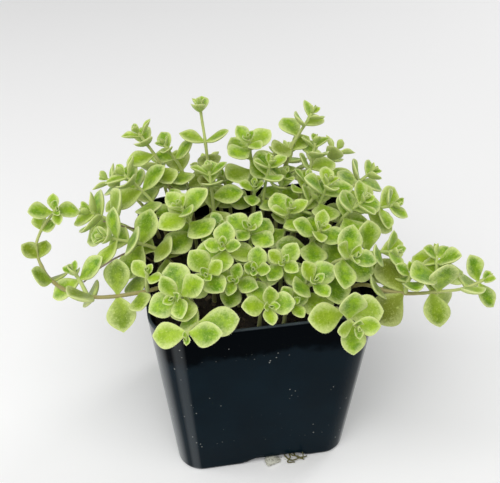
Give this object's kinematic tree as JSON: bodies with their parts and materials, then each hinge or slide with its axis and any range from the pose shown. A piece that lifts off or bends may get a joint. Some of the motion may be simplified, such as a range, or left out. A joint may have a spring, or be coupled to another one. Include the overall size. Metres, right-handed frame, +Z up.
{
  "type": "potted crassula",
  "caption": "Small-leaved velvety succulent spilling over the rim of a square tapered plastic nursery pot, with low drain arches in its base.",
  "frame": {"origin": "centre of the flat pad in the middle of the pot's underside", "axes": "+Z up out of the pot; -Y towards the pot's front side; +X to the right seen from the front, along the two long trailing shoots"},
  "size_m": [0.1484, 0.1033, 0.1229],
  "materials": {
    "pot_plastic": "smooth glossy injection-moulded plastic with dust",
    "potting_mix": "dark crumbly damp peat",
    "leaf_green": "plump velvety leaf with a pale downy margin",
    "roots": "thin dull rootlets",
    "perlite": "dull white porous grain"
  },
  "bodies": {
    "root": {"pot": "pot_plastic", "potting_mix": "potting_mix", "drain_roots": "roots", "perlite_grain": "perlite", "left_trailing_shoot": "leaf_green", "right_trailing_shoot": "leaf_green", "front_trailing_shoot": "leaf_green", "left_shoot_1": "leaf_green", "left_shoot_2": "leaf_green", "left_shoot_3": "leaf_green", "left_shoot_4": "leaf_green", "back_left_shoot_1": "leaf_green", "back_left_shoot_2": "leaf_green", "back_left_shoot_3": "leaf_green", "back_left_shoot_4": "leaf_green", "back_left_shoot_5": "leaf_green", "back_middle_shoot_1": "leaf_green", "back_middle_shoot_2": "leaf_green", "back_middle_shoot_3": "leaf_green", "back_middle_shoot_4": "leaf_green", "back_right_shoot_1": "leaf_green", "back_right_shoot_2": "leaf_green", "back_right_shoot_3": "leaf_green", "back_right_shoot_4": "leaf_green", "back_right_shoot_5": "leaf_green", "back_right_shoot_6": "leaf_green", "back_right_shoot_7": "leaf_green", "back_right_shoot_8": "leaf_green", "back_right_shoot_9": "leaf_green", "right_shoot_1": "leaf_green", "right_shoot_2": "leaf_green", "right_shoot_3": "leaf_green", "right_shoot_4": "leaf_green", "centre_shoot_1": "leaf_green", "centre_shoot_2": "leaf_green", "centre_shoot_3": "leaf_green", "centre_shoot_4": "leaf_green", "centre_shoot_5": "leaf_green", "centre_shoot_6": "leaf_green", "centre_shoot_7": "leaf_green", "centre_shoot_8": "leaf_green", "centre_shoot_9": "leaf_green", "centre_shoot_10": "leaf_green", "centre_shoot_11": "leaf_green", "centre_shoot_12": "leaf_green", "front_shoot_1": "leaf_green", "front_shoot_2": "leaf_green", "front_shoot_3": "leaf_green", "front_shoot_4": "leaf_green", "front_shoot_5": "leaf_green"}
  },
  "joints": []
}
